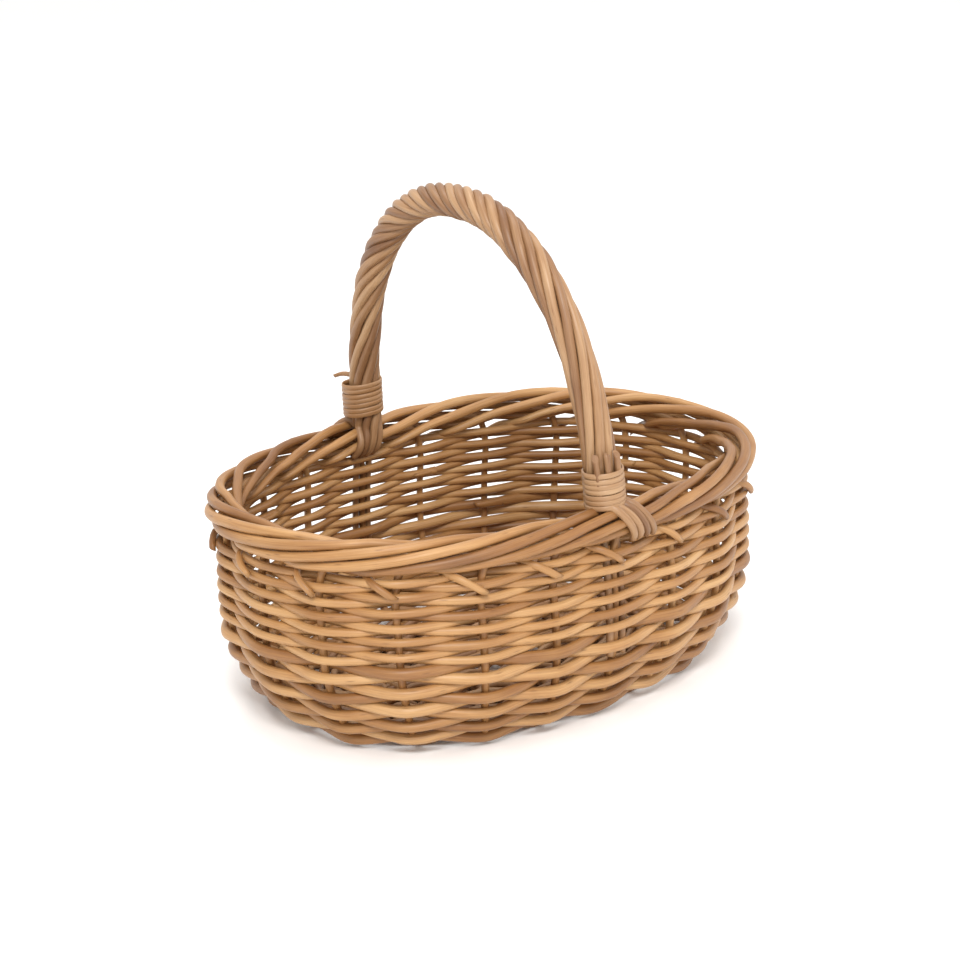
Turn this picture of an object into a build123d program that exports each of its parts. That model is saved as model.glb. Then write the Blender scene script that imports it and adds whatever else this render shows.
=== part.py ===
"""Oval willow shopping basket with a fixed rope-twisted handle.

Millimetres, +Z up.  X runs along the basket's length and the handle crosses from back (+Y)
to front (-Y).  The origin is on the ground under the middle of the rim.
Every willow rod is a solid of its own: the stakes rise from the base and are turned down into
the border, and each weaver is one rod that goes once round the wall.
"""

import math
import os

from build123d import *

os.makedirs("parts", exist_ok=True)

# Overall proportions
rim_half_length = 188.0  # from the middle to the stakes' centre line at the ends
rim_half_width = 129.0  # the same across the basket
belly = 9.0  # extra half width low down on the long sides
oval_power = 2.33  # 2 is an ellipse, more is squarer
wall_height = 127.0  # where the weaving stops and the border starts
base_level = 6.2  # centre line of the base's spokes at its rim

# Stakes
stake_count = 20
stake_radius = 2.6
stake_lead = 0.55  # share of the base's weaving that a stake's inner end lies under
low_bend_radius = 13.7  # tight bend at the base's edge
high_bend_radius = 109.0  # long curve above it
bend_split = math.radians(50)  # slope of the wall where the two bends meet
rod_bend_radius = 26.0  # how sharply a weaver bends round a stake
rod_gap = 0.1  # air between rods that touch
end_gap = 0.02  # of a stake spacing, between the two ends of one weaver
corner_share = 0.46  # most of a straight run that one bend may take up
straight_enough = 0.003  # radians; flatter corners are left out
pair_reach = 0.13  # of a stake spacing: weavers pass a handle foot's three uprights as one

# Weavers: thick rods below, thin ones above
thick_rows = 10
thick_radius = 3.45
thick_pitch = 7.1
thin_rows = 12
thin_radius = 2.28
thin_pitch = 4.7
first_row = 8.6  # distance of the first row from the start of the bend
row_stagger = 3  # stakes between the starts of neighbouring rows

# Base: five short sticks across, five long sticks threaded through them, rings woven round both
base_inset = 37.0  # inset of the base's edge from the rim
base_rise = 3.0  # how much higher the base is in the middle
short_stick_spacing = 40.0
short_stick_radius = 3.9
long_stick_spacing = 6.0
long_stick_radius = 2.2
sticks_each_way = 5
slit_height = 4.8
base_row_count = 13
base_row_radius = 2.2
base_row_bite = 0.6  # how deep the rings press into the short sticks
base_ring_start = 0.6  # of a ring's width, from the base's edge to the first ring
stick_margin = 5.4  # how far the short sticks' straight part reaches past the long sticks
base_middle_x = -7.2
stake_beside = 6.8  # a stake's inner end lies this far beside its stick
stake_swerve = 8.0  # where it starts to swing back in line, before the base's edge
stake_lead_in = 1.0
border_lead_in = 3.0  # straight end of a stake under the border

# Handle
foot_x = -9.0  # the handle stands a little to one side of the middle
foot_y = 121.0
foot_level = 148.0
apex_level = 326.0  # centre line of the handle at its top
apex_lean = -14.0  # sideways lean of the top
arch_power = 2.14
bow_radius = 4.9
bow_steps = 24
bow_bend_radius = 400.0
prong_radius = 2.4
prong_aside = 5.4  # each end of the bow runs on as two prongs, one on each side of the stake
prong_top = 124.0  # where the prongs enter the weaving
prong_bottom = 52.0
wrap_count = 8
wrap_radius = 2.9
wrap_orbit = 7.9
wrap_turns = -3.4
wrap_steps = 44
tail_aside = 16.0  # how far the outer tails slant along the border
tail_spacing = 5.9
binding_radius = 1.75
binding_pitch = 3.5
binding_turns = 7
back_binding_level = 156.5
front_binding_level = 147.5
binding_bite = 0.4  # how deep the binding presses into the rods it holds
points_per_turn = 12
fine_steps = 600  # for measuring along a curve
cut_end_count = 3  # rods that come up through the front binding and are cut off above it
cut_end_radius = 2.1
cut_end_facing = math.radians(-110)
cut_end_spread = math.radians(28)
cut_end_top = 183.0

# Route of a stake through the border, once it leaves the wall: distance along the rim in stake
# spacings, distance outwards from the stakes' line, height above the wall.  It goes behind one
# stake, in front of three, behind two, and its tip comes out again across the weaving.
border_route = [
    (0.10, 0.0, 4.0),
    (0.35, -0.6, 8.0),
    (0.65, -2.6, 9.6),
    (1.00, -3.6, 7.5),
    (1.30, -4.4, 3.8),
    (1.50, -0.6, 3.3),
    (1.75, 3.9, 4.3),
    (2.00, 5.6, 5.6),
    (2.50, 7.9, 8.6),
    (3.00, 8.6, 12.3),
    (3.50, 7.5, 16.0),
    (4.00, 4.9, 18.7),
    (4.45, 1.2, 20.0),
    (4.75, -2.8, 19.6),
    (5.00, -5.8, 18.0),
    (5.30, -8.2, 15.6),
    (5.60, -9.5, 13.0),
    (6.00, -9.7, 9.6),
    (6.30, -9.1, 6.0),
    (6.50, -7.2, 2.2),
    (6.64, -1.2, -0.9),
    (6.76, 6.6, -3.2),
    (6.88, 9.4, -7.2),
    (7.00, 9.8, -11.8),
]

# Tails of the rods wrapped round the handle, below its feet: share of the way sideways, distance
# outwards from the stakes' line, height above the wall.  The outer ones cross the border and dive
# under it, the inner ones run down the inside of the wall.
outer_tail = [
    (0.20, 3.2, 23.6),
    (0.42, 9.6, 21.6),
    (0.62, 13.8, 15.6),
    (0.80, 14.0, 8.2),
    (0.92, 11.0, 1.6),
    (1.00, 6.0, -3.0),
]
inner_tail = [
    (0.30, -16.2, 17.0),
    (0.60, -14.6, 11.0),
    (0.85, -11.2, 5.0),
    (1.00, -5.0, 0.5),
]


def oval_power_of(value):
    """Turn a cosine or a sine into the coordinate of the squared-off oval."""
    return math.copysign(abs(value) ** (2 / oval_power), value)


def on_wall(angle, inset, out, level):
    """Point on the oval that lies `inset` inside the rim's, moved `out` along its normal."""
    across = rim_half_width + belly * max(0.0, 1 - level / wall_height)
    x = (rim_half_length - inset) * oval_power_of(math.cos(angle))
    y = (across - inset) * oval_power_of(math.sin(angle))
    slope_x = math.copysign(abs(x / rim_half_length) ** (oval_power - 1), x) / rim_half_length
    slope_y = math.copysign(abs(y / across) ** (oval_power - 1), y) / across
    scale = out / math.hypot(slope_x, slope_y)
    return Vector(x + slope_x * scale, y + slope_y * scale, level)


def even_shares(path, count):
    """Shares of a finely divided path that cut it into steps of equal length."""
    run = [0.0]
    for before, after in zip(path, path[1:]):
        run.append(run[-1] + (after - before).length)
    wanted = [run[-1] * i / count for i in range(count + 1)]
    return [min(range(len(run)), key=lambda i: abs(run[i] - w)) / (len(run) - 1) for w in wanted]


def side_stations(start, end, count):
    """Angles that divide the rim between two angles into equal lengths."""
    angles = [start + (end - start) * i / fine_steps for i in range(fine_steps + 1)]
    shares = even_shares([on_wall(angle, 0, 0, wall_height) for angle in angles], count)
    return [start + (end - start) * share for share in shares[:-1]]


foot_angle = math.acos(-((abs(foot_x) / rim_half_length) ** (oval_power / 2)))
half_count = stake_count // 2
stations = side_stations(-foot_angle, foot_angle, half_count)
stations += side_stations(foot_angle, 2 * math.pi - foot_angle, half_count)


def station_angle(station):
    """Angle on the oval of a place counted in stake spacings from the front foot."""
    laps, place = divmod(station, stake_count)
    index = int(place)
    here = stations[index]
    after = stations[index + 1] if index + 1 < stake_count else stations[0] + 2 * math.pi
    return here + (after - here) * (place - index) + 2 * math.pi * laps


low_bend_length = low_bend_radius * bend_split
high_bend_length = high_bend_radius * (math.pi / 2 - bend_split)
bend_reach = (
    low_bend_radius * math.sin(bend_split) + high_bend_radius * (1 - math.sin(bend_split))
)
bend_top = (
    base_level
    + low_bend_radius * (1 - math.cos(bend_split))
    + high_bend_radius * math.cos(bend_split)
)


def wall_profile(run):
    """Inset, level and slope of a stake at a distance along it from the base's edge."""
    if run < low_bend_length:
        slope = run / low_bend_radius
        inset = bend_reach - low_bend_radius * math.sin(slope)
        return inset, base_level + low_bend_radius * (1 - math.cos(slope)), slope
    if run < low_bend_length + high_bend_length:
        slope = bend_split + (run - low_bend_length) / high_bend_radius
        inset = high_bend_radius * (1 - math.sin(slope))
        return inset, bend_top - high_bend_radius * math.cos(slope), slope
    return 0.0, bend_top + run - low_bend_length - high_bend_length, math.pi / 2


def rounded_route(points, bend):
    """Straight runs through the points, joined by tangent arcs of at most the given radius."""
    here = points[0]
    for before, corner, after in zip(points, points[1:], points[2:]):
        arriving = (corner - before).normalized()
        leaving = (after - corner).normalized()
        half_turn = math.radians(arriving.get_angle(leaving)) / 2
        if half_turn < straight_enough:
            continue
        room = corner_share * min((corner - before).length, (after - corner).length)
        reach = min(bend * math.tan(half_turn), room)
        radius = reach / math.tan(half_turn)
        bulge = (leaving - arriving).normalized() * (radius / math.cos(half_turn) - radius)
        Line(here, corner - arriving * reach)
        ThreePointArc(corner - arriving * reach, corner + bulge, corner + leaving * reach)
        here = corner + leaving * reach
    Line(here, points[-1])


def keep(part, name):
    """Label a finished piece and write it."""
    part.label = name
    export_step(part, f"parts/{name}.step")


def willow_rod(points, radius, name):
    """Make and write one round rod that follows a route."""
    with BuildPart() as rod:
        with BuildLine() as route:
            rounded_route(points, rod_bend_radius)
        with BuildSketch(Plane(route.line @ 0, z_dir=route.line % 0)):
            Circle(radius)
        sweep(path=route.line)
    keep(rod.part, name)


def row_radius(row):
    """Radius of the weaver in a row, counted from the bottom."""
    return thick_radius if row < thick_rows else thin_radius


def row_run(row):
    """Distance of a row along the stakes from the base's edge."""
    if row < thick_rows:
        return first_row + thick_pitch * row
    change = first_row + thick_pitch * (thick_rows - 1) + (thick_pitch + thin_pitch) / 2
    return change + thin_pitch * (row - thick_rows)


def row_points(row):
    """Route of one weaver: in front of one stake and behind the next, all round."""
    inset, level, slope = wall_profile(row_run(row))
    start = row_stagger * row
    start += (start + row + 1) % 2
    offset = stake_radius + row_radius(row) + rod_gap
    last = 2 * stake_count
    points = []
    for step in range(last + 1):
        side = 0 if step % 2 else (-1 if step // 2 % 2 == 0 else 1)
        out = side * offset * math.sin(slope)
        drop = side * offset * math.cos(slope)
        places = [start + step / 2]
        if side and 0 < step < last and places[0] % half_count == 0:
            places = [places[0] - pair_reach, places[0] + pair_reach]
        if step == last:
            places = [places[0] - end_gap]
        for place in places:
            points.append(on_wall(station_angle(place), inset, out, level - drop))
    return points


def stick_end(station):
    """Inner and outer end of the base stick that points at a station."""
    half = sticks_each_way // 2
    across = long_stick_spacing * half + stick_margin
    along = short_stick_spacing * half + long_stick_spacing * 2
    if station <= half or station >= stake_count - half:
        place = station if station <= half else station - stake_count
        inner = Vector(base_middle_x + short_stick_spacing * place, -across)
    elif station < half_count - half:
        place = station - half_count / 2
        inner = Vector(base_middle_x + along, long_stick_spacing * place)
    elif station <= half_count + half:
        inner = Vector(base_middle_x + short_stick_spacing * (half_count - station), across)
    else:
        place = 3 * half_count / 2 - station
        inner = Vector(base_middle_x - along, long_stick_spacing * place)
    inner.Z = base_level + base_rise
    return inner, on_wall(station_angle(station), base_inset, 0, base_level)


def base_row_points(ring):
    """Route of one base rod: over one stick and under the next."""
    share = (ring + base_ring_start) / base_row_count
    swing = short_stick_radius - base_row_bite + base_row_radius
    spots = []
    for step in range(stake_count + 1):
        inner, outer = stick_end((ring + step) % stake_count)
        spots.append(outer + (inner - outer) * share)
    points = []
    for step, (here, after) in enumerate(zip(spots, spots[1:])):
        side = 1 if step % 2 == 0 else -1
        points.append(here + Vector(0, 0, side * swing))
        points.append((here + after) / 2)
    last = spots[-1] + (spots[-2] - spots[-1]) * 2 * end_gap
    return points + [last + Vector(0, 0, swing)]


def stake_points(stake):
    """Route of one stake: along the base, up the wall and through the border."""
    angle = station_angle(stake)
    inner, outer = stick_end(stake)
    along = (outer - inner).normalized()
    beside = Vector(-along.Y, along.X) * stake_beside
    points = [
        outer + (inner - outer) * stake_lead + beside,
        outer - along * stake_swerve + beside,
        on_wall(angle, bend_reach + stake_lead_in, 0, base_level),
    ]
    for run in (low_bend_length, low_bend_length + high_bend_length / 2):
        inset, level, _ = wall_profile(run)
        points.append(on_wall(angle, inset, 0, level))
    points.append(on_wall(angle, 0, 0, bend_top))
    points.append(on_wall(angle, 0, 0, wall_height - border_lead_in))
    for spacings, out, rise in border_route:
        points.append(on_wall(station_angle(stake + spacings), 0, out, wall_height + rise))
    return points


def arch_point(share):
    """Handle's centre line from the back foot (0) over the top to the front foot (1)."""
    angle = math.pi * share
    across = math.copysign(abs(math.cos(angle)) ** (2 / arch_power), math.cos(angle))
    up = math.sin(angle) ** (2 / arch_power) if 0 < share < 1 else 0.0
    lean = apex_lean * math.sin(angle) if 0 < share < 1 else 0.0
    return Vector(foot_x + lean, foot_y * across, foot_level + (apex_level - foot_level) * up)


def arch_shares(count):
    """Shares that divide the arch into steps of equal length."""
    return even_shares([arch_point(i / fine_steps) for i in range(fine_steps + 1)], count)


def wrap_points(rod):
    """Route of one wrapping rod: a helix round the bow, with a tail at each foot."""
    shares = arch_shares(wrap_steps)
    path = [arch_point(share) for share in shares]
    points = []
    for step, here in enumerate(path):
        ahead = (path[min(step + 1, wrap_steps)] - path[max(step - 1, 0)]).normalized()
        side = Vector(-1, 0, 0)
        side = (side - ahead * side.dot(ahead)).normalized()
        outwards = ahead.cross(side)
        turn = 2 * math.pi * (rod / wrap_count + wrap_turns * step / wrap_steps)
        spoke = outwards * math.cos(turn) + side * math.sin(turn)
        points.append(here + spoke * wrap_orbit)
    return foot_tail(points[0], 1)[::-1] + points + foot_tail(points[-1], -1)


def foot_tail(last, end):
    """Tail of a wrapping rod below the binding, at the back (1) or the front (-1) foot."""
    outer = last.Y * end > foot_y
    aside = last.X - foot_x
    place = math.asin(max(-1, min(1, aside / wrap_orbit))) * wrap_count / (2 * math.pi)
    reach = place * tail_spacing - aside - (end * tail_aside if outer else 0)
    tail = []
    for share, out, rise in outer_tail if outer else inner_tail:
        y = end * (rim_half_width + out)
        tail.append(Vector(last.X + reach * share, y, wall_height + rise))
    return tail


def binding_points(end):
    """Helix of the binding round the handle's leg at one foot."""
    lowest = back_binding_level if end > 0 else front_binding_level
    points = []
    for step in range(binding_turns * points_per_turn + 1):
        turn = 2 * math.pi * step / points_per_turn
        level = lowest + binding_pitch * step / points_per_turn
        leg = arch_at_level(level, end)
        orbit = wrap_orbit + wrap_radius + binding_radius - binding_bite
        if end < 0:
            orbit += 2 * cut_end_radius * max(0.0, math.cos(turn - cut_end_facing))
        points.append(leg + Vector(orbit * math.cos(turn), orbit * math.sin(turn), 0))
    return points


def arch_at_level(level, end):
    """Point of the handle's centre line at a level, on the back (1) or front (-1) leg."""
    height = max(0.0, (level - foot_level) / (apex_level - foot_level))
    angle = math.asin(height ** (arch_power / 2))
    share = angle / math.pi if end > 0 else 1 - angle / math.pi
    spot = arch_point(share)
    return Vector(spot.X, spot.Y, level)


def cut_end_points(number):
    """A rod beside the front leg, from inside the binding to its cut end above it."""
    turn = cut_end_facing + cut_end_spread * (number - (cut_end_count - 1) / 2)
    orbit = wrap_orbit + wrap_radius + cut_end_radius
    spoke = Vector(orbit * math.cos(turn), orbit * math.sin(turn), 0)
    return [arch_at_level(level, -1) + spoke for level in (front_binding_level, cut_end_top)]


# Base
with BuildPart() as short_sticks:
    for front in range(-(sticks_each_way // 2), sticks_each_way // 2 + 1):
        front_inner, front_outer = stick_end(front % stake_count)
        back_inner, back_outer = stick_end(half_count - front)
        with BuildLine() as stick_line:
            rounded_route([front_outer, front_inner, back_inner, back_outer], rod_bend_radius)
        with BuildSketch(Plane(stick_line.line @ 0, z_dir=stick_line.line % 0)):
            Circle(short_stick_radius)
        sweep(path=stick_line.line)
    with Locations((base_middle_x, 0, base_level + base_rise)):
        Box(
            short_stick_spacing * sticks_each_way,
            long_stick_spacing * sticks_each_way,
            slit_height,
            mode=Mode.SUBTRACT,
        )
keep(short_sticks.part, "base_short_sticks")

with BuildPart() as long_sticks:
    for right in range(sticks_each_way):
        right_inner, right_outer = stick_end(half_count // 2 - sticks_each_way // 2 + right)
        left_inner, left_outer = stick_end(3 * half_count // 2 + sticks_each_way // 2 - right)
        with BuildLine() as stick_line:
            rounded_route([right_outer, right_inner, left_inner, left_outer], rod_bend_radius)
        with BuildSketch(Plane(stick_line.line @ 0, z_dir=stick_line.line % 0)):
            Circle(long_stick_radius)
        sweep(path=stick_line.line)
keep(long_sticks.part, "base_long_sticks")

with BuildPart() as base_weave:
    for ring in range(base_row_count):
        with BuildLine() as ring_line:
            rounded_route(base_row_points(ring), rod_bend_radius)
        with BuildSketch(Plane(ring_line.line @ 0, z_dir=ring_line.line % 0)):
            Circle(base_row_radius)
        sweep(path=ring_line.line)
    split(bisect_by=Plane.XY, keep=Keep.TOP)  # the crests underneath are worn flat
keep(base_weave.part, "base_weave")

# Wall: one rod to each row
for row in range(thick_rows + thin_rows):
    willow_rod(row_points(row), row_radius(row), f"weaver_{row + 1:02d}")

# Stakes, each with its share of the border
for stake in range(stake_count):
    willow_rod(stake_points(stake), stake_radius, f"stake_{stake + 1:02d}")

# Handle: the bow with its thin ends pushed into the wall, the rods wrapped round it, the bindings
for rod in range(wrap_count):
    willow_rod(wrap_points(rod), wrap_radius, f"handle_wrap_{rod + 1:02d}")
for end, place in ((1, "back"), (-1, "front")):
    willow_rod(binding_points(end), binding_radius, f"handle_binding_{place}")


with BuildPart() as cut_ends:
    for number in range(cut_end_count):
        low, high = cut_end_points(number)
        with BuildSketch(Plane(low, z_dir=high - low)):
            Circle(cut_end_radius)
        extrude(amount=(high - low).length)
keep(cut_ends.part, "handle_cut_ends")

with BuildPart() as handle_bow:
    shares = arch_shares(bow_steps)
    with BuildLine() as arch_line:
        rounded_route([arch_point(share) for share in shares], bow_bend_radius)
    with BuildSketch(Plane(arch_line.line @ 0, z_dir=arch_line.line % 0)):
        Circle(bow_radius)
    sweep(path=arch_line.line)
    for end in (1, -1):
        for side in (1, -1):
            x = foot_x + side * prong_aside
            arch_foot = Vector(foot_x, end * foot_y, foot_level)
            neck = Vector(x, end * rim_half_width, prong_top)
            tip = Vector(x, end * (rim_half_width + belly / 2), prong_bottom)
            with BuildLine() as prong_line:
                rounded_route([arch_foot, neck, tip], rod_bend_radius)
            with BuildSketch(Plane(prong_line.line @ 0, z_dir=prong_line.line % 0)):
                Circle(prong_radius)
            sweep(path=prong_line.line)
keep(handle_bow.part, "handle_bow")
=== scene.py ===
"""Oval willow shopping basket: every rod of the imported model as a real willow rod."""

import math
import random

import bpy
from mathutils import Matrix, Vector

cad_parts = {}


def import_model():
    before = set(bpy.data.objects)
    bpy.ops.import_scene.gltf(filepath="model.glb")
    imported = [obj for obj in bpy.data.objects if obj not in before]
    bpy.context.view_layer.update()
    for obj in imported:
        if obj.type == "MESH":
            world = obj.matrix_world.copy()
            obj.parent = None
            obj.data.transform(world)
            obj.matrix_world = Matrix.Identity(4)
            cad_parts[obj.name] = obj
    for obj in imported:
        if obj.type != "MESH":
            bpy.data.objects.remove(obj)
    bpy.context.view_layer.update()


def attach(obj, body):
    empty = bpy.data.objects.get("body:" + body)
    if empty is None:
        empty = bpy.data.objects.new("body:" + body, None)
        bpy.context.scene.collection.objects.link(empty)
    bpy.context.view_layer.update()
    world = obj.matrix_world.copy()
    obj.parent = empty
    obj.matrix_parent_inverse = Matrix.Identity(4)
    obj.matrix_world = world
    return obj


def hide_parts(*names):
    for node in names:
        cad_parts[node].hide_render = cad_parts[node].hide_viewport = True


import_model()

# ---------------------------------------------------------------- driving dimensions, metres
MM = 0.001

# the oval and its stakes
RIM_HALF_LENGTH = 0.188
RIM_HALF_WIDTH = 0.129
BELLY = 0.009
OVAL_POWER = 2.33
WALL_HEIGHT = 0.127
BASE_LEVEL = 0.0062
STAKE_COUNT = 20
HALF_COUNT = STAKE_COUNT // 2
STAKE_RADIUS = 0.0025
BORDER_RADIUS = 0.0033
TIP_RADIUS = 0.0022
WALL_SHARE = 0.34
THIN_SHARE = 0.84
STAKE_SWELL_SHARE = 0.08
LOW_BEND_RADIUS = 0.0137
HIGH_BEND_RADIUS = 0.109
BEND_SPLIT = math.radians(50)

# the rows of weaving, counted in rows, stake spacings or shares where they aren't lengths
THICK_ROWS = 10
THICK_RADIUS = 0.0036
THICK_PITCH = 0.0071
THIN_ROWS = 12
THIN_RADIUS = 0.0027
THIN_PITCH = 0.0047
FIRST_ROW = 0.0086
ROW_STAGGER = 3
WEAVER_TUCK = 0.20
PAIR_REACH = 0.13
WEAVER_END_INWARD = 0.7
WEAVER_TIP_SHARE = 0.025
WEAVER_TIP_LOSS = 0.45
LOW_WEAVE_DEPTH = 0.56
WEAVE_DEPTH_RISE = 0.26

# the base
BASE_INSET = 0.037
BASE_RISE = 0.003
SHORT_STICK_SPACING = 0.040
SHORT_STICK_RADIUS = 0.0039
LONG_STICK_SPACING = 0.006
LONG_STICK_RADIUS = 0.0022
STICKS_EACH_WAY = 5
BASE_ROW_COUNT = 13
BASE_ROW_RADIUS = 0.0022
STAKE_LEAD = 0.55
STAKE_BESIDE = 0.0068
STAKE_EDGE = 0.008
STAKE_EDGE_BESIDE = 0.8
STAKE_UPRIGHT_START = 0.006
STAKE_UPRIGHT_END = 0.012
STICK_MIDDLE_X = -0.0072
STICK_MARGIN = 0.9
BASE_WEAVE_BITE = 0.0006
BASE_WEAVE_START = 0.1
BASE_WEAVE_LACK = 0.4
BASE_WEAVE_ROUNDING = 0.014

# the handle; each lean is an angle in degrees and the power that it fades with
FOOT_X = -0.009
FOOT_Y = 0.121
FOOT_LEVEL = 0.148
APEX_LEVEL = 0.326
APEX_LEAN = -0.014
ARCH_POWER = 2.14
WRAP_COUNT = 8
WRAP_RADIUS = 0.00305
WRAP_ORBIT = 0.0079
TOP_LEAN = 35
BACK_LEAN = (14, 3)
FRONT_LEAN = (8, 6)
BACK_BINDING_LEVEL = 0.1565
FRONT_BINDING_LEVEL = 0.1475
BINDING_TURNS = 7
BINDING_POINTS_PER_TURN = 16
BINDING_OVERRUN = 3
BINDING_BITE = 0.0002
BINDING_TIP = [(0.006, 0.0006), (0.013, 0.0012), (0.019, -0.0006)]
BINDING_PITCH = 0.0035
BINDING_WIDTH = 0.0037
BINDING_THICKNESS = 0.0016
END_COUNT = 3
END_RADIUS = 0.0021
END_FACING = math.radians(-110)
BACK_END_FACING = math.radians(140)
END_SPREAD = math.radians(28)
END_LEVEL = 0.183
BINDINGS = {1: (BACK_BINDING_LEVEL, BACK_END_FACING), -1: (FRONT_BINDING_LEVEL, END_FACING)}
PRONG_ASIDE = 0.0054
PRONG_RADIUS = 0.0024
PRONG_ROUTE = [(0.136, -5.0), (0.118, -1.0), (0.080, 0.0), (0.050, 0.0)]
BOW_RADIUS = 0.0052

# a stake's way through the border: stake spacings along the rim, mm out and mm above the wall
BORDER_ROUTE = [
    (0.10, 0.0, 4.0),
    (0.35, -0.6, 8.0),
    (0.65, -2.6, 9.0),
    (1.00, -3.8, 6.4),
    (1.30, -4.4, 3.2),
    (1.50, -0.6, 3.3),
    (1.75, 3.9, 4.3),
    (2.00, 5.6, 5.6),
    (2.50, 7.9, 8.6),
    (3.00, 8.6, 12.3),
    (3.50, 7.5, 16.0),
    (4.00, 4.9, 18.7),
    (4.45, 1.2, 20.0),
    (4.75, -2.8, 19.6),
    (5.00, -5.8, 18.0),
    (5.30, -8.2, 15.6),
    (5.60, -9.5, 13.0),
    (6.00, -9.7, 9.6),
    (6.30, -9.1, 6.0),
    (6.50, -7.2, 2.2),
    (6.64, -1.2, -0.9),
    (6.76, 6.2, -3.2),
    (6.88, 8.6, -7.2),
    (6.98, 8.8, -11.2),
]

# a wrapping rod's tail: share of its sideways shift, mm out from the rim and mm above the wall
OUTER_TAIL = [
    (0.05, 1.5, 23.6),
    (0.20, 7.0, 22.0),
    (0.45, 11.5, 17.0),
    (0.72, 13.2, 10.0),
    (0.90, 12.0, 4.0),
    (1.00, 8.5, 0.0),
]
INNER_TAIL = [
    (0.30, -15.6, 16.0),
    (0.60, -15.2, 10.0),
    (0.85, -12.4, 4.0),
    (1.00, -7.0, -1.0),
]
TAIL_ASIDE = 0.019
INNER_TAIL_ASIDE = 0.002
TAIL_SPACING = 0.0057
TAIL_RADIUS = 0.0022
TAIL_SHARE = 0.08

# what makes one rod differ from the next
KNOT_LENGTH = 0.0028
FIRST_KNOT = (0.01, 0.06)
KNOT_SIZE = (0.04, 0.13)
KNOT_SPACING = (0.035, 0.11)
SWELLING = 0.035
SWELLING_LENGTHS = (0.21, 0.085, 0.05)
ROW_LIFT = 0.00055
ROW_UNEVENNESS = 0.0002
BORDER_SWAY = 0.6
TAIL_SWAY = 0.3


# ---------------------------------------------------------------- the basket's shape
def squared(value):
    return math.copysign(abs(value) ** (2 / OVAL_POWER), value)


def on_wall(angle, inset, out, level):
    """Point on the oval, `inset` inside the rim's stake line, moved `out` along its normal."""
    across = RIM_HALF_WIDTH + BELLY * max(0.0, 1 - level / WALL_HEIGHT)
    x = (RIM_HALF_LENGTH - inset) * squared(math.cos(angle))
    y = (across - inset) * squared(math.sin(angle))
    slope_x = math.copysign(abs(x / RIM_HALF_LENGTH) ** (OVAL_POWER - 1), x) / RIM_HALF_LENGTH
    slope_y = math.copysign(abs(y / across) ** (OVAL_POWER - 1), y) / across
    scale = out / math.hypot(slope_x, slope_y)
    return Vector((x + slope_x * scale, y + slope_y * scale, level))


def side_stations(start, end, count):
    """Angles of evenly spaced places along one side of the oval."""
    steps = 600
    angles = [start + (end - start) * i / steps for i in range(steps + 1)]
    corners = [on_wall(angle, 0, 0, WALL_HEIGHT) for angle in angles]
    run = [0.0]
    for before, after in zip(corners, corners[1:]):
        run.append(run[-1] + (after - before).length)
    wanted = [run[-1] * i / count for i in range(count)]
    return [angles[min(range(steps), key=lambda i: abs(run[i] - w))] for w in wanted]


foot_angle = math.acos(-((abs(FOOT_X) / RIM_HALF_LENGTH) ** (OVAL_POWER / 2)))
stations = side_stations(-foot_angle, foot_angle, HALF_COUNT)
stations += side_stations(foot_angle, 2 * math.pi - foot_angle, HALF_COUNT)
station_random = random.Random(11)
for index in range(STAKE_COUNT):
    if index % HALF_COUNT:
        stations[index] += station_random.uniform(-0.010, 0.010)


def station_angle(station):
    """Angle on the oval of a place counted in stake spacings from the front foot."""
    laps, spot = divmod(station, STAKE_COUNT)
    index = int(spot)
    here = stations[index]
    after = stations[index + 1] if index + 1 < STAKE_COUNT else stations[0] + 2 * math.pi
    return here + (after - here) * (spot - index) + 2 * math.pi * laps


low_bend_length = LOW_BEND_RADIUS * BEND_SPLIT
high_bend_length = HIGH_BEND_RADIUS * (math.pi / 2 - BEND_SPLIT)
bend_length = low_bend_length + high_bend_length
bend_reach = (
    LOW_BEND_RADIUS * math.sin(BEND_SPLIT) + HIGH_BEND_RADIUS * (1 - math.sin(BEND_SPLIT))
)
bend_top = (
    BASE_LEVEL
    + LOW_BEND_RADIUS * (1 - math.cos(BEND_SPLIT))
    + HIGH_BEND_RADIUS * math.cos(BEND_SPLIT)
)


def wall_profile(run):
    """Inset, level and slope of a stake at a distance along it from the base's edge."""
    if run < low_bend_length:
        slope = run / LOW_BEND_RADIUS
        inset = bend_reach - LOW_BEND_RADIUS * math.sin(slope)
        return inset, BASE_LEVEL + LOW_BEND_RADIUS * (1 - math.cos(slope)), slope
    if run < bend_length:
        slope = BEND_SPLIT + (run - low_bend_length) / HIGH_BEND_RADIUS
        inset = HIGH_BEND_RADIUS * (1 - math.sin(slope))
        return inset, bend_top - HIGH_BEND_RADIUS * math.cos(slope), slope
    return 0.0, bend_top + run - bend_length, math.pi / 2


def wobble(rng, size, waves):
    """A smooth random curve of a share from 0 to 1."""
    terms = [(rng.uniform(0.3, 1.0), wave, rng.uniform(0, 2 * math.pi)) for wave in waves]
    total = sum(term[0] for term in terms)

    def value(share):
        raw = sum(a * math.sin(2 * math.pi * w * share + p) for a, w, p in terms)
        return size * raw / total

    return value


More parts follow.
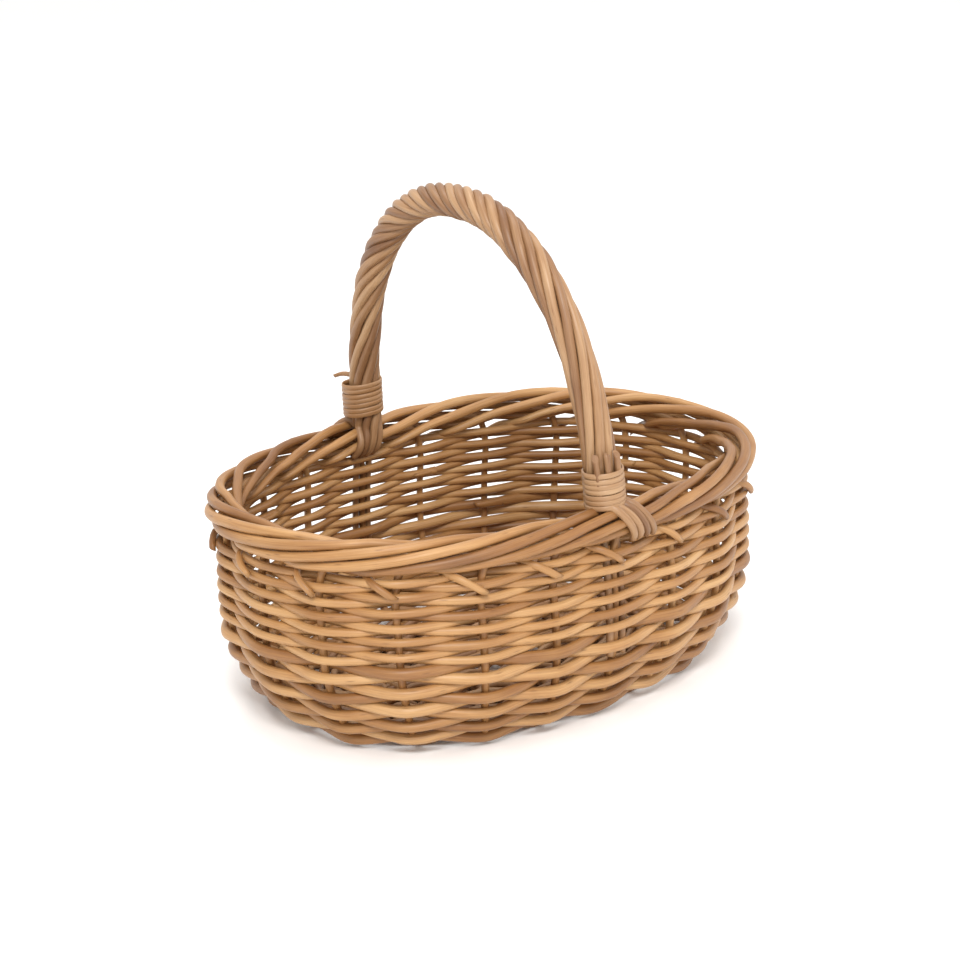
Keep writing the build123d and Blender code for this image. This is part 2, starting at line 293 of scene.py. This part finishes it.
# ---------------------------------------------------------------- rods
def smooth_path(points, spacing):
    """Points along the centripetal Catmull-Rom curve through the given ones."""
    ends = [points[0] * 2 - points[1]] + list(points) + [points[-1] * 2 - points[-2]]
    path = []
    for i in range(1, len(ends) - 2):
        p0, p1, p2, p3 = ends[i - 1 : i + 3]
        t0 = 0.0
        t1 = t0 + max((p1 - p0).length, 1e-6) ** 0.5
        t2 = t1 + max((p2 - p1).length, 1e-6) ** 0.5
        t3 = t2 + max((p3 - p2).length, 1e-6) ** 0.5
        count = max(1, round((p2 - p1).length / spacing))
        for step in range(count):
            t = t1 + (t2 - t1) * step / count
            a1 = p0 * ((t1 - t) / (t1 - t0)) + p1 * ((t - t0) / (t1 - t0))
            a2 = p1 * ((t2 - t) / (t2 - t1)) + p2 * ((t - t1) / (t2 - t1))
            a3 = p2 * ((t3 - t) / (t3 - t2)) + p3 * ((t - t2) / (t3 - t2))
            b1 = a1 * ((t2 - t) / (t2 - t0)) + a2 * ((t - t0) / (t2 - t0))
            b2 = a2 * ((t3 - t) / (t3 - t1)) + a3 * ((t - t1) / (t3 - t1))
            path.append(b1 * ((t2 - t) / (t2 - t1)) + b2 * ((t - t1) / (t2 - t1)))
    path.append(points[-1].copy())
    return path


class RodBuilder:
    """Collects the tubes of one piece, with the coordinates its material reads."""

    def __init__(self):
        self.verts, self.faces, self.tone, self.uvs = [], [], [], []

    def add(
        self, points, radius_at, rng, sides=14, spacing=0.0035, facing=None, section=(1, 1), slant=0.0
    ):
        """One rod along the points; radius_at gives its radius at a share of its length."""
        path = smooth_path(points, spacing)
        run = [0.0]
        for before, after in zip(path, path[1:]):
            run.append(run[-1] + (after - before).length)
        length = run[-1]
        tone = rng.random()
        start_along = rng.uniform(0, 40)
        knots = []
        spot = rng.uniform(*FIRST_KNOT)
        while spot < length:
            knots.append((spot, rng.uniform(0, 2 * math.pi), rng.uniform(*KNOT_SIZE)))
            spot += rng.uniform(*KNOT_SPACING)
        swell = wobble(rng, SWELLING, [length / wave for wave in SWELLING_LENGTHS])
        oval = rng.uniform(0.0, 0.06)
        oval_turn = rng.uniform(0, math.pi)
        base = len(self.verts)
        tangent = (path[1] - path[0]).normalized()
        side = tangent.orthogonal().normalized()
        for i, spot in enumerate(path):
            ahead = path[min(i + 1, len(path) - 1)] - path[max(i - 1, 0)]
            tangent = ahead.normalized()
            if facing is not None:
                side = facing(spot).cross(tangent).normalized()
            else:
                side = (side - tangent * side.dot(tangent)).normalized()
            up = tangent.cross(side)
            share = run[i] / length
            radius = radius_at(share) * (1 + swell(share))
            for j in range(sides):
                turn = 2 * math.pi * j / sides
                here = radius * (1 + oval * math.cos(2 * (turn - oval_turn)))
                for knot, knot_turn, size in knots:
                    away = (run[i] - knot) / KNOT_LENGTH
                    if abs(away) < 3:
                        near = 0.5 + 0.5 * math.cos(turn - knot_turn)
                        here += radius * size * math.exp(-away * away) * near
                across = side * (math.cos(turn) * section[0]) + up * (math.sin(turn) * section[1])
                tilt = tangent * (slant * radius * math.cos(turn - oval_turn))
                end = i in (0, len(path) - 1)
                self.verts.append(spot + across * here + (tilt if end else Vector((0, 0, 0))))
                self.tone.append(tone)
        rings = len(path)
        for i in range(rings - 1):
            for j in range(sides):
                k = (j + 1) % sides
                a, b = base + i * sides + j, base + i * sides + k
                self.faces.append((a, b, b + sides, a + sides))
                v0, v1 = start_along + run[i], start_along + run[i + 1]
                u0, u1 = j / sides, (j + 1) / sides
                self.uvs += [(u0, v0), (u1, v0), (u1, v1), (u0, v1)]
        self.cap(base, sides, start_along, True)
        self.cap(base + (rings - 1) * sides, sides, start_along + length, False)

    def cap(self, first, sides, along, start):
        """Close an end with a flat fan."""
        ring = list(range(first, first + sides))
        middle = sum((self.verts[i] for i in ring), Vector((0, 0, 0))) / sides
        self.verts.append(middle)
        self.tone.append(self.tone[first])
        hub = len(self.verts) - 1
        for j in range(sides):
            a, b = ring[j], ring[(j + 1) % sides]
            self.faces.append((hub, b, a) if start else (hub, a, b))
            self.uvs += [(0.5, along), (j / sides, along), ((j + 1) / sides, along)]

    def finish(self, name, material):
        mesh = bpy.data.meshes.new(name)
        mesh.from_pydata(self.verts, [], self.faces)
        layer = mesh.uv_layers.new(name="rod")
        for loop, uv in zip(layer.data, self.uvs):
            loop.uv = uv
        tones = mesh.attributes.new("tone", "FLOAT", "POINT")
        tones.data.foreach_set("value", self.tone)
        mesh.polygons.foreach_set("use_smooth", [len(face) == 4 for face in self.faces])
        mesh.materials.append(material)
        mesh.update()
        piece = bpy.data.objects.new(name, mesh)
        bpy.context.scene.collection.objects.link(piece)
        return piece


def place(builder, name, material, node):
    """Turn a builder's rods into the piece that stands for one node of the model."""
    piece = builder.finish(name, material)
    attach(piece, "root")
    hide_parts(node)


# ---------------------------------------------------------------- materials
class Nodes:
    """Short way to add and link shader nodes."""

    def __init__(self, material):
        material.use_nodes = True
        self.tree = material.node_tree
        self.tree.nodes.clear()

    def add(self, kind, **values):
        node = self.tree.nodes.new(kind)
        for key, value in values.items():
            setattr(node, key, value)
        return node

    def link(self, source, target):
        self.tree.links.new(source, target)

    def math(self, operation, first, second=None, clamp=False):
        node = self.add("ShaderNodeMath", operation=operation, use_clamp=clamp)
        for socket, value in zip(node.inputs, (first, second)):
            if value is None:
                continue
            if isinstance(value, (int, float)):
                socket.default_value = value
            else:
                self.link(value, socket)
        return node.outputs[0]

    def combine(self, x, y, z):
        node = self.add("ShaderNodeCombineXYZ")
        for socket, value in zip(node.inputs, (x, y, z)):
            if isinstance(value, (int, float)):
                socket.default_value = value
            else:
                self.link(value, socket)
        return node.outputs[0]

    def noise(self, vector, scale, detail, roughness):
        node = self.add("ShaderNodeTexNoise")
        node.inputs["Scale"].default_value = scale
        node.inputs["Detail"].default_value = detail
        node.inputs["Roughness"].default_value = roughness
        self.link(vector, node.inputs["Vector"])
        return node.outputs[0]

    def ramp(self, value, stops):
        node = self.add("ShaderNodeValToRGB")
        elements = node.color_ramp.elements
        while len(elements) < len(stops):
            elements.new(0.5)
        for element, (position, colour) in zip(elements, stops):
            element.position = position
            element.color = (*colour, 1)
        self.link(value, node.inputs["Fac"])
        return node.outputs["Color"]

    def mix(self, kind, amount, first, second):
        node = self.add("ShaderNodeMix", data_type="RGBA", blend_type=kind)
        colour_a = [s for s in node.inputs if s.name == "A" and s.type == "RGBA"][0]
        colour_b = [s for s in node.inputs if s.name == "B" and s.type == "RGBA"][0]
        factor = [s for s in node.inputs if s.name == "Factor" and s.type == "VALUE"][0]
        for socket, value in ((factor, amount), (colour_a, first), (colour_b, second)):
            if isinstance(value, (int, float)):
                socket.default_value = value
            elif isinstance(value, tuple):
                socket.default_value = (*value, 1)
            else:
                self.link(value, socket)
        return [s for s in node.outputs if s.name == "Result" and s.type == "RGBA"][0]


def willow(name, deep, brown, tan, pale, roughness=0.48):
    """Peeled willow: rod-to-rod tone, slow changes along a rod, fine fibres, knots and specks."""
    material = bpy.data.materials.new(name)
    n = Nodes(material)
    uv = n.add("ShaderNodeUVMap", uv_map="rod")
    split = n.add("ShaderNodeSeparateXYZ")
    n.link(uv.outputs[0], split.inputs[0])
    turn = n.math("MULTIPLY", split.outputs[0], 2 * math.pi)
    round_x, round_y = n.math("COSINE", turn), n.math("SINE", turn)
    along = split.outputs[1]
    tone = n.add("ShaderNodeAttribute", attribute_name="tone").outputs["Fac"]

    slow = n.noise(n.combine(n.math("MULTIPLY", round_x, 0.25), n.math("MULTIPLY", round_y, 0.25),
                             n.math("MULTIPLY", along, 14.0)), 1.0, 3.0, 0.55)
    shade = n.math("ADD", n.math("MULTIPLY", tone, 0.48), n.math("MULTIPLY", slow, 0.72))
    shade = n.math("SUBTRACT", shade, 0.10, clamp=True)
    colour = n.ramp(shade, [(0.05, deep), (0.32, brown), (0.58, tan), (0.95, pale)])

    fibre_vector = n.combine(n.math("MULTIPLY", round_x, 5.5), n.math("MULTIPLY", round_y, 5.5),
                             n.math("MULTIPLY", along, 38.0))
    fibre = n.noise(fibre_vector, 1.0, 4.0, 0.6)
    fibre_tint = n.ramp(fibre, [(0.32, (0.60, 0.50, 0.40)), (0.62, (1.0, 1.0, 1.0))])
    colour = n.mix("MULTIPLY", 0.62, colour, fibre_tint)

    stain_place = n.add("ShaderNodeNewGeometry").outputs["Position"]
    stain = n.noise(stain_place, 34.0, 2.0, 0.5)
    stain_tint = n.ramp(stain, [(0.36, (0.80, 0.70, 0.62)), (0.60, (1.0, 1.0, 1.0))])
    colour = n.mix("MULTIPLY", 0.45, colour, stain_tint)

    speck = n.add("ShaderNodeTexVoronoi", feature="F1")
    speck.inputs["Scale"].default_value = 1.0
    n.link(n.combine(n.math("MULTIPLY", round_x, 0.9), n.math("MULTIPLY", round_y, 0.9),
                     n.math("MULTIPLY", along, 46.0)), speck.inputs["Vector"])
    speck_mask = n.ramp(speck.outputs["Distance"], [(0.05, (1, 1, 1)), (0.17, (0, 0, 0))])
    colour = n.mix("MIX", n.math("MULTIPLY", speck_mask, 0.55), colour, deep)

    gloss = n.math("ADD", n.math("MULTIPLY", fibre, 0.22), roughness - 0.11)
    height = n.math("ADD", n.math("MULTIPLY", fibre, 0.7), n.math("MULTIPLY", slow, 0.3))
    bump = n.add("ShaderNodeBump")
    bump.inputs["Strength"].default_value = 0.35
    bump.inputs["Distance"].default_value = 0.0006
    n.link(height, bump.inputs["Height"])

    shader = n.add("ShaderNodeBsdfPrincipled")
    shader.inputs["Coat Weight"].default_value = 0.12
    shader.inputs["Coat Roughness"].default_value = 0.32
    shader.inputs["Specular IOR Level"].default_value = 0.45
    n.link(colour, shader.inputs["Base Color"])
    n.link(gloss, shader.inputs["Roughness"])
    n.link(bump.outputs[0], shader.inputs["Normal"])
    output = n.add("ShaderNodeOutputMaterial")
    n.link(shader.outputs[0], output.inputs["Surface"])
    return material


DEEP = (0.150, 0.062, 0.020)
BROWN = (0.300, 0.140, 0.043)
TAN = (0.452, 0.242, 0.090)
PALE = (0.610, 0.385, 0.180)
HANDLE_BROWN = (0.245, 0.125, 0.055)
HANDLE_TAN = (0.375, 0.215, 0.105)
HANDLE_PALE = (0.520, 0.345, 0.195)
BASE_DEEP = (0.11, 0.05, 0.02)
BASE_BROWN = (0.24, 0.12, 0.055)
BASE_TAN = (0.36, 0.20, 0.095)

weaver_willow = willow("weaver_willow", DEEP, BROWN, TAN, PALE)
stake_willow = willow("stake_willow", DEEP, BROWN, TAN, PALE)
handle_willow = willow("handle_willow", DEEP, HANDLE_BROWN, HANDLE_TAN, HANDLE_PALE, 0.45)
base_willow = willow("base_willow", BASE_DEEP, BASE_BROWN, BASE_TAN, TAN, 0.58)
binding_willow = willow("binding_willow", DEEP, BROWN, HANDLE_TAN, HANDLE_PALE, 0.42)


# ---------------------------------------------------------------- the wall
def row_radius(row):
    return THICK_RADIUS if row < THICK_ROWS else THIN_RADIUS


def row_run(row):
    if row < THICK_ROWS:
        return FIRST_ROW + THICK_PITCH * row
    change = FIRST_ROW + THICK_PITCH * (THICK_ROWS - 1) + (THICK_PITCH + THIN_PITCH) / 2
    return change + THIN_PITCH * (row - THICK_ROWS)


def weave_depth(row):
    """How far a row swings in and out, as a share of what straight stakes would force."""
    return LOW_WEAVE_DEPTH + WEAVE_DEPTH_RISE * min(1.0, row / THICK_ROWS)


def weaver(row):
    """One rod round the wall, in front of one stake and behind the next."""
    rng = random.Random(100 + row)
    radius = row_radius(row)
    inset, level, slope = wall_profile(row_run(row))
    start = ROW_STAGGER * row
    start += (start + row + 1) % 2
    offset = (STAKE_RADIUS + radius) * weave_depth(row)
    lift = wobble(rng, ROW_LIFT, [1, 3, 7])
    points = []
    steps = 2 * STAKE_COUNT
    for step in range(steps + 1):
        crossing = step % 2 == 0
        front = step // 2 % 2 == 1
        side = (1 if front else -1) if crossing else 0
        extra = 0.0
        places = [start + step / 2]
        if crossing and places[0] % HALF_COUNT == 0:
            places = [places[0] - PAIR_REACH, places[0] + PAIR_REACH]
        if step == 0:
            places = [start - WEAVER_TUCK, start]
        if step == steps:
            places = [start + STAKE_COUNT, start + STAKE_COUNT + WEAVER_TUCK]
            extra = WEAVER_END_INWARD * radius
        for station in places:
            reach = side * offset * (1 + rng.uniform(-0.04, 0.06)) - extra
            bump = lift(step / steps) + rng.uniform(-ROW_UNEVENNESS, ROW_UNEVENNESS)
            out = reach * math.sin(slope) - bump * math.cos(slope)
            up = bump * math.sin(slope) - reach * math.cos(slope)
            points.append(on_wall(station_angle(station), inset, out, level + up))
    taper = rng.choice((-1, 1)) * rng.uniform(0.03, 0.09)

    def radius_at(share):
        thinning = max(0.0, (share - 1 + WEAVER_TIP_SHARE) / WEAVER_TIP_SHARE)
        full = radius * (1.01 + taper * (0.5 - share) * 2)
        return full * (1 - WEAVER_TIP_LOSS * thinning)

    builder = RodBuilder()
    builder.add(points, radius_at, rng, sides=16, slant=0.8)
    node = f"weaver_{row + 1:02d}"
    place(builder, f"willow_{node}", weaver_willow, node)


def stick_end(station):
    """Inner and outer end of the base stick that points at a station."""
    half = STICKS_EACH_WAY // 2
    across = LONG_STICK_SPACING * (half + STICK_MARGIN)
    along = SHORT_STICK_SPACING * half + LONG_STICK_SPACING * 2
    if station <= half or station >= STAKE_COUNT - half:
        spot = station if station <= half else station - STAKE_COUNT
        inner = Vector((STICK_MIDDLE_X + SHORT_STICK_SPACING * spot, -across, 0))
    elif station < HALF_COUNT - half:
        spot = station - HALF_COUNT / 2
        inner = Vector((STICK_MIDDLE_X + along, LONG_STICK_SPACING * spot, 0))
    elif station <= HALF_COUNT + half:
        inner = Vector((STICK_MIDDLE_X + SHORT_STICK_SPACING * (HALF_COUNT - station), across, 0))
    else:
        spot = 3 * HALF_COUNT / 2 - station
        inner = Vector((STICK_MIDDLE_X - along, LONG_STICK_SPACING * spot, 0))
    inner.z = BASE_LEVEL + BASE_RISE
    return inner, on_wall(station_angle(station), BASE_INSET, 0, BASE_LEVEL)


def stake(number):
    """One stake: from the base up the wall, then turned down into the border."""
    rng = random.Random(300 + number)
    angle = station_angle(number)
    inner, outer = stick_end(number)
    along = (outer - inner).normalized()
    beside = Vector((-along.y, along.x, 0)) * STAKE_BESIDE
    points = [
        outer + (inner - outer) * STAKE_LEAD + beside,
        outer - along * STAKE_EDGE + beside * STAKE_EDGE_BESIDE,
        on_wall(angle, bend_reach + MM, 0, BASE_LEVEL),
    ]
    for part in (0, 0.35, 0.7):
        inset, level, _ = wall_profile(low_bend_length + high_bend_length * part)
        points.append(on_wall(angle + rng.uniform(-0.004, 0.004), inset, 0, level))
    points.append(on_wall(angle, 0, 0, bend_top + STAKE_UPRIGHT_START))
    points.append(on_wall(angle, 0, 0, WALL_HEIGHT - STAKE_UPRIGHT_END))
    for along_rim, out, rise in BORDER_ROUTE:
        sway = rng.uniform(-BORDER_SWAY, BORDER_SWAY) * MM
        points.append(
            on_wall(station_angle(number + along_rim), 0, out * MM + sway, WALL_HEIGHT + rise * MM)
        )

    border_radius = BORDER_RADIUS * rng.uniform(0.92, 1.06)

    def radius_at(share):
        swelling = min(1.0, max(0.0, (share - WALL_SHARE) / STAKE_SWELL_SHARE))
        thinning = max(0.0, (share - THIN_SHARE) / (1 - THIN_SHARE))
        full = STAKE_RADIUS + (border_radius - STAKE_RADIUS) * swelling
        return full + (TIP_RADIUS - full) * thinning

    builder = RodBuilder()
    builder.add(points, radius_at, rng, sides=16, slant=1.2)
    node = f"stake_{number + 1:02d}"
    place(builder, f"willow_{node}", stake_willow, node)


for row in range(THICK_ROWS + THIN_ROWS):
    weaver(row)
for number in range(STAKE_COUNT):
    stake(number)


# ---------------------------------------------------------------- the handle
def arch_point(share):
    """Handle's centre line from the back foot (0) over the top to the front foot (1)."""
    angle = math.pi * share
    across = math.copysign(abs(math.cos(angle)) ** (2 / ARCH_POWER), math.cos(angle))
    inside = 0 < share < 1
    up = math.sin(angle) ** (2 / ARCH_POWER) if inside else 0.0
    lean = APEX_LEAN * math.sin(angle) if inside else 0.0
    return Vector((FOOT_X + lean, FOOT_Y * across, FOOT_LEVEL + (APEX_LEVEL - FOOT_LEVEL) * up))


def arch_shares(count):
    """Shares of the arch at even distances along it, and its length."""
    fine = 600
    path = [arch_point(i / fine) for i in range(fine + 1)]
    run = [0.0]
    for before, after in zip(path, path[1:]):
        run.append(run[-1] + (after - before).length)
    wanted = [run[-1] * i / count for i in range(count + 1)]
    shares = [min(range(fine + 1), key=lambda i: abs(run[i] - w)) / fine for w in wanted]
    return shares, run[-1]


WRAP_STEPS = 60
wrap_shares, arch_length = arch_shares(WRAP_STEPS)


def wrap_lean(progress):
    """Angle of the wrapping to the handle's axis: steepest over the top."""
    low, power = BACK_LEAN if progress < 0.5 else FRONT_LEAN
    return math.radians(low + (TOP_LEAN - low) * math.sin(math.pi * progress) ** power)


wrap_turn = [0.0]
for step in range(WRAP_STEPS):
    lean = wrap_lean((step + 0.5) / WRAP_STEPS)
    wrap_turn.append(wrap_turn[-1] - math.tan(lean) * arch_length / WRAP_STEPS / WRAP_ORBIT)


def arch_frame(share):
    """Point on the handle's centre line, with its outward and sideways directions."""
    here = arch_point(share)
    ahead = (arch_point(min(1, share + 0.004)) - arch_point(max(0, share - 0.004))).normalized()
    side = Vector((-1, 0, 0))
    side = (side - ahead * side.dot(ahead)).normalized()
    return here, ahead.cross(side), side


def foot_tail(last, end, rng):
    """Tail of a wrapping rod below the binding, at the back (1) or the front (-1) foot."""
    outer = last.y * end > FOOT_Y
    aside = last.x - FOOT_X
    rank = math.asin(max(-1, min(1, aside / WRAP_ORBIT))) * WRAP_COUNT / (2 * math.pi)
    reach = rank * TAIL_SPACING - aside - end * (TAIL_ASIDE if outer else INNER_TAIL_ASIDE)
    start = (last.y * end - RIM_HALF_WIDTH) / MM
    tail = []
    for share, out, rise in OUTER_TAIL if outer else INNER_TAIL:
        x = last.x + reach * share + rng.uniform(-TAIL_SWAY, TAIL_SWAY) * MM
        if not outer:
            out += (start - out) * (1 - share) ** 2
        y = end * (RIM_HALF_WIDTH + (out + rng.uniform(-TAIL_SWAY, TAIL_SWAY)) * MM)
        tail.append(Vector((x, y, WALL_HEIGHT + rise * MM)))
    return tail


def handle_wrap(number):
    """One rod wrapped round the handle from foot to foot, with a tail at each end."""
    rng = random.Random(500 + number)
    points = []
    orbit_drift = wobble(rng, 0.00025, [2, 5])
    turn_drift = wobble(rng, 0.05, [3, 7])
    for step, share in enumerate(wrap_shares):
        here, outwards, side = arch_frame(share)
        turn = 2 * math.pi * number / WRAP_COUNT + wrap_turn[step] + turn_drift(step / WRAP_STEPS)
        spoke = outwards * math.cos(turn) + side * math.sin(turn)
        points.append(here + spoke * (WRAP_ORBIT + orbit_drift(step / WRAP_STEPS)))
    points = foot_tail(points[0], 1, rng)[::-1] + points + foot_tail(points[-1], -1, rng)
    taper = rng.choice((-1, 1)) * 0.05
    size = WRAP_RADIUS * rng.uniform(0.97, 1.07)

    def radius_at(share):
        full = size * (1 + taper * (1 - 2 * share))
        thinning = max(0.0, 1 - min(share, 1 - share) / TAIL_SHARE)
        return full + (TAIL_RADIUS - full) * thinning

    builder = RodBuilder()
    builder.add(points, radius_at, rng, sides=14, spacing=0.003)
    node = f"handle_wrap_{number + 1:02d}"
    place(builder, f"willow_{node}", handle_willow, node)


def arch_at_level(level, end):
    """Point on the handle's centre line at a level, on the back (1) or the front (-1) leg."""
    height = max(0.0, (level - FOOT_LEVEL) / (APEX_LEVEL - FOOT_LEVEL))
    angle = math.asin(height ** (ARCH_POWER / 2))
    share = angle / math.pi if end > 0 else 1 - angle / math.pi
    spot = arch_point(share)
    return Vector((spot.x, spot.y, level))


def binding(end, node):
    """Split cane wound round one foot of the handle and the rod ends beside it."""
    rng = random.Random(700 + end)
    builder = RodBuilder()
    points = []
    tilt = rng.uniform(0.0006, 0.0012)
    close = WRAP_ORBIT + WRAP_RADIUS + BINDING_THICKNESS / 2 - BINDING_BITE
    lowest, facing_ends = BINDINGS[end]
    last = BINDING_TURNS * BINDING_POINTS_PER_TURN + BINDING_OVERRUN
    for step in range(last + 1):
        turn = 2 * math.pi * step / BINDING_POINTS_PER_TURN
        level = lowest + BINDING_PITCH * step / BINDING_POINTS_PER_TURN
        level += tilt * math.cos(turn + 0.7) + 0.0003 * math.sin(turn * 0.37 + end)
        orbit = close + 2 * END_RADIUS * max(0.0, math.cos(turn - facing_ends)) ** 0.7
        leg = arch_at_level(level, end)
        points.append(leg + Vector((orbit * math.cos(turn), orbit * math.sin(turn), 0)))
    if end > 0:
        ahead = (points[-1] - points[-2]).normalized()
        for far, rise in BINDING_TIP:
            points.append(points[last] + ahead * far + Vector((0, 0, rise)))
    middle = arch_at_level(lowest + BINDING_PITCH * BINDING_TURNS / 2, end)

    def facing(spot):
        away = spot - middle
        away.z = 0
        return away.normalized()

    shape = (BINDING_WIDTH / BINDING_THICKNESS, 1)
    builder.add(points, lambda share: BINDING_THICKNESS / 2, rng, 12, 0.0025, facing, shape)
    place(builder, f"willow_{node}", binding_willow, node)


def cut_ends():
    """Cut ends of the rods that come up through the front binding."""
    rng = random.Random(750)
    builder = RodBuilder()
    orbit = WRAP_ORBIT + WRAP_RADIUS + END_RADIUS
    for number in range(END_COUNT):
        turn = END_FACING + END_SPREAD * (number - (END_COUNT - 1) / 2)
        spoke = Vector((orbit * math.cos(turn), orbit * math.sin(turn), 0))
        top = END_LEVEL + rng.uniform(-0.002, 0.002)
        points = []
        for step in range(5):
            level = FRONT_BINDING_LEVEL + (top - FRONT_BINDING_LEVEL) * step / 4
            lean = Vector((0.0012 * (number - 1) * step / 4, 0, 0))
            points.append(arch_at_level(level, -1) + spoke * (1 + 0.04 * step / 4) + lean)
        builder.add(points, lambda share: END_RADIUS, rng, slant=0.9)
    node = "handle_cut_ends"
    place(builder, f"willow_{node}", handle_willow, node)


for number in range(WRAP_COUNT):
    handle_wrap(number)
binding(1, "handle_binding_back")
binding(-1, "handle_binding_front")
cut_ends()


def bow():
    """The thick rod inside the handle; each end runs on as two thin prongs beside the stake."""
    rng = random.Random(800)
    builder = RodBuilder()
    middle = [arch_point(share) for share in wrap_shares[::3]]
    builder.add(middle, lambda share: BOW_RADIUS, rng, sides=16)
    for end in (1, -1):
        for side in (1, -1):
            points = [Vector((FOOT_X + side * 0.003, end * FOOT_Y, FOOT_LEVEL + 0.006))]
            for level, out in PRONG_ROUTE:
                inset = max(0.0, 0.060 - level) * 0.2
                y = end * (RIM_HALF_WIDTH + BELLY * (1 - level / WALL_HEIGHT) - inset + out * MM)
                points.append(Vector((FOOT_X + side * PRONG_ASIDE, y, level)))
            builder.add(points, lambda share: PRONG_RADIUS, rng)
    place(builder, "willow_handle_bow", handle_willow, "handle_bow")


bow()


# ---------------------------------------------------------------- the base
def base():
    rng = random.Random(900)
    builder = RodBuilder()
    half = STICKS_EACH_WAY // 2
    for front in range(-half, half + 1):
        front_inner, front_outer = stick_end(front % STAKE_COUNT)
        back_inner, back_outer = stick_end(HALF_COUNT - front)
        stick = [front_outer, front_inner, back_inner, back_outer]
        builder.add(stick, lambda share: SHORT_STICK_RADIUS, rng)
    place(builder, "willow_base_short_sticks", base_willow, "base_short_sticks")
    builder = RodBuilder()
    for right in range(STICKS_EACH_WAY):
        right_inner, right_outer = stick_end(HALF_COUNT // 2 - half + right)
        left_inner, left_outer = stick_end(3 * HALF_COUNT // 2 + half - right)
        straight = [right_inner.lerp(left_inner, part) for part in (0, 0.08, 0.5, 0.92, 1)]
        stick = [right_outer] + straight + [left_outer]
        builder.add(stick, lambda share: LONG_STICK_RADIUS, rng)
    place(builder, "willow_base_long_sticks", base_willow, "base_long_sticks")
    builder = RodBuilder()
    swing = SHORT_STICK_RADIUS - BASE_WEAVE_BITE + BASE_ROW_RADIUS
    for ring in range(BASE_ROW_COUNT):
        share = (ring + BASE_WEAVE_START) / (BASE_ROW_COUNT - BASE_WEAVE_LACK)
        spots = []
        for step in range(STAKE_COUNT + 1):
            inner, outer = stick_end((ring + step) % STAKE_COUNT)
            spots.append(outer + (inner - outer) * share)
        points = []
        for step, (here, after) in enumerate(zip(spots, spots[1:])):
            points.append(here + Vector((0, 0, swing if step % 2 == 0 else -swing)))
            points.append((here + after) / 2 * (1 + BASE_WEAVE_ROUNDING * (1 - share)))
            points[-1].z = here.z
        points.append(spots[-1] + (spots[-2] - spots[-1]) * 0.04 + Vector((0, 0, swing)))
        builder.add(points, lambda share: BASE_ROW_RADIUS, rng, sides=12)
    for spot in builder.verts:
        spot.z = max(spot.z, 0.0)
    place(builder, "willow_base_weave", base_willow, "base_weave")


base()


# ---------------------------------------------------------------- floor, light and camera
def floor():
    size = 6.0
    mesh = bpy.data.meshes.new("floor")
    corners = [(-size, -size, 0), (size, -size, 0), (size, size, 0), (-size, size, 0)]
    mesh.from_pydata(corners, [], [(0, 1, 2, 3)])
    material = bpy.data.materials.new("floor_white")
    n = Nodes(material)
    shader = n.add("ShaderNodeBsdfPrincipled")
    shader.inputs["Base Color"].default_value = (0.93, 0.93, 0.93, 1)
    shader.inputs["Roughness"].default_value = 0.7
    shader.inputs["Specular IOR Level"].default_value = 0.2
    output = n.add("ShaderNodeOutputMaterial")
    n.link(shader.outputs[0], output.inputs["Surface"])
    mesh.materials.append(material)
    piece = bpy.data.objects.new("floor", mesh)
    bpy.context.scene.collection.objects.link(piece)


def area_light(name, spot, aim, size, power, colour=(1, 1, 1)):
    light = bpy.data.lights.new(name, "AREA")
    light.shape = "DISK"
    light.size = size
    light.energy = power
    light.color = colour
    lamp = bpy.data.objects.new(name, light)
    lamp.location = spot
    lamp.rotation_euler = (Vector(aim) - Vector(spot)).to_track_quat("-Z", "Y").to_euler()
    bpy.context.scene.collection.objects.link(lamp)


def world():
    scene_world = bpy.data.worlds.new("studio")
    bpy.context.scene.world = scene_world
    scene_world.use_nodes = True
    background = scene_world.node_tree.nodes["Background"]
    background.inputs["Color"].default_value = (1.0, 0.995, 0.985, 1)
    background.inputs["Strength"].default_value = 1.06


def camera():
    spot = Vector((-0.9086, -1.0717, 0.5941))
    aim = Vector((-0.0046, 0.0039, 0.1332))
    back = (spot - aim).normalized()
    right = Vector((0, 0, 1)).cross(back).normalized()
    up = back.cross(right)
    roll = -0.0208
    right, up = (
        right * math.cos(roll) + up * math.sin(roll),
        up * math.cos(roll) - right * math.sin(roll),
    )
    data = bpy.data.cameras.new("camera")
    data.lens = 82.43
    data.sensor_width = 36
    item = bpy.data.objects.new("camera", data)
    turn = Matrix((right, up, back)).transposed().to_4x4()
    item.matrix_world = Matrix.Translation(spot) @ turn
    bpy.context.scene.collection.objects.link(item)
    bpy.context.scene.camera = item


floor()
world()
camera()
area_light("key", (-1.0, -1.3, 1.7), (0, 0, 0.12), 0.7, 34, (1.0, 0.985, 0.96))
area_light("fill", (1.6, -0.9, 1.0), (0, 0, 0.12), 1.4, 6, (1.0, 0.99, 0.97))
area_light("top", (0.1, 0.5, 2.2), (0, 0, 0.1), 1.2, 14)
bpy.context.scene.view_settings.view_transform = "Standard"
